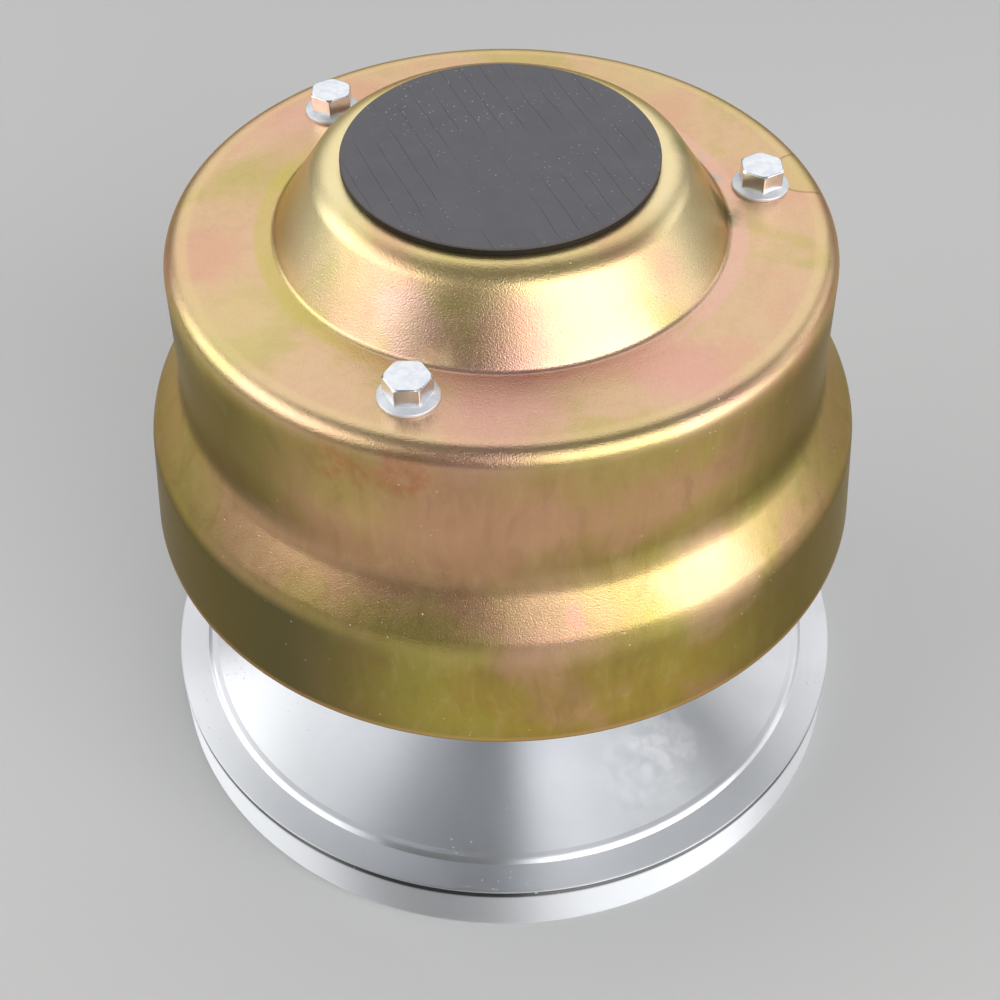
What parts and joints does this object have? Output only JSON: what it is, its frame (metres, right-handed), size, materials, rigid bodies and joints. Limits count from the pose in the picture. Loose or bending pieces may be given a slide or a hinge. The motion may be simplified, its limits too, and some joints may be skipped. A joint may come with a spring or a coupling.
{
  "type": "drive clutch",
  "caption": "Centrifugal belt drive clutch: ribbed fixed sheave on a tapered post, sprung moveable sheave under a plated bell cover, flyweights on a roller spider, rubber dust plug.",
  "frame": {"origin": "centre of the fixed sheave's base, on the shaft axis, at the plane the clutch rests on", "axes": "+Z along the shaft axis from the fixed sheave to the dust plug; -Y faces the picture's camera"},
  "size_m": [0.198, 0.198, 0.1852],
  "materials": {
    "turned_aluminium": "turned, fine concentric tool marks",
    "post_steel": "ground steel",
    "hardened_steel": "hardened and ground steel",
    "sleeve_steel": "polished by the belt",
    "spring_steel": "dark phosphated spring steel",
    "cast_spider": "as cast, oiled",
    "zinc_steel": "bright zinc-plated steel",
    "yellow_zinc_sheet": "satin yellow-zinc plated steel sheet with an iridescent passivation",
    "weight_steel": "stamped and ground steel",
    "bronze": "sintered bronze",
    "button_plastic": "self-lubricating plastic",
    "black_rubber": "matt rubber with fine dust"
  },
  "bodies": {
    "fixed_half": {"fixed_sheave": "turned_aluminium", "clutch_post": "post_steel", "thrust_washer": "hardened_steel", "needle_bearing": "hardened_steel", "lower_spring_seat": "hardened_steel", "shift_spring": "spring_steel", "spider": "cast_spider", "spider_nut": "zinc_steel", "drive_buttons": "button_plastic", "roller_pins": "hardened_steel", "roller_pin_clips": "spring_steel"},
    "idler": {"idler_sleeve": "sleeve_steel"},
    "moving_half": {"moveable_sheave": "turned_aluminium", "sheave_bushing": "bronze", "upper_spring_seat": "hardened_steel", "cover": "yellow_zinc_sheet", "cover_bolts": "zinc_steel", "weight_pins": "hardened_steel", "weight_pin_clips": "spring_steel"},
    "plug": {"dust_plug": "black_rubber"},
    "roller_1": {"roller_1": "hardened_steel", "roller_bushing_1": "bronze"},
    "flyweight_1": {"flyweight_1": "weight_steel", "weight_bushing_1": "bronze", "weight_rivet_1": "zinc_steel"},
    "roller_2": {"roller_2": "hardened_steel", "roller_bushing_2": "bronze"},
    "flyweight_2": {"flyweight_2": "weight_steel", "weight_bushing_2": "bronze", "weight_rivet_2": "zinc_steel"},
    "roller_3": {"roller_3": "hardened_steel", "roller_bushing_3": "bronze"},
    "flyweight_3": {"flyweight_3": "weight_steel", "weight_bushing_3": "bronze", "weight_rivet_3": "zinc_steel"}
  },
  "joints": [
    {"name": "shift", "type": "slide", "parent": "fixed_half", "child": "moving_half", "axis": [0, 0, -1], "range_m": [0, 0.024], "stiffness_N_per_m": 5000, "springref_m": -0.03, "deforming": ["shift_spring"]},
    {"name": "idler_spin", "type": "hinge", "parent": "fixed_half", "child": "idler", "pos_m": [0, 0, 0.04848], "axis": [0, 0, 1], "continuous": true},
    {"name": "plug_lift", "type": "slide", "parent": "moving_half", "child": "plug", "axis": [0, 0, 1], "range_m": [0, 0.02]},
    {"name": "roller_1_spin", "type": "hinge", "parent": "fixed_half", "child": "roller_1", "pos_m": [0.02101, 0.06467, 0.10998], "axis": [-0.9511, 0.309, 0], "continuous": true},
    {"name": "weight_1_swing", "type": "hinge", "parent": "moving_half", "child": "flyweight_1", "pos_m": [0.01947, 0.05992, 0.08798], "axis": [-0.9511, 0.309, 0], "range_deg": [0, 28]},
    {"name": "roller_2_spin", "type": "hinge", "parent": "fixed_half", "child": "roller_2", "pos_m": [-0.06651, -0.01414, 0.10998], "axis": [0.2079, -0.9781, 0], "continuous": true},
    {"name": "weight_2_swing", "type": "hinge", "parent": "moving_half", "child": "flyweight_2", "pos_m": [-0.06162, -0.0131, 0.08798], "axis": [0.2079, -0.9781, 0], "range_deg": [0, 28]},
    {"name": "roller_3_spin", "type": "hinge", "parent": "fixed_half", "child": "roller_3", "pos_m": [0.0455, -0.05053, 0.10998], "axis": [0.7431, 0.6691, 0], "continuous": true},
    {"name": "weight_3_swing", "type": "hinge", "parent": "moving_half", "child": "flyweight_3", "pos_m": [0.04215, -0.04682, 0.08798], "axis": [0.7431, 0.6691, 0], "range_deg": [0, 28]}
  ],
  "couplings": [
    {"joint": "weight_1_swing", "follows": "shift", "rad_per_m": 20.362},
    {"joint": "weight_2_swing", "follows": "shift", "rad_per_m": 20.362},
    {"joint": "weight_3_swing", "follows": "shift", "rad_per_m": 20.362}
  ]
}
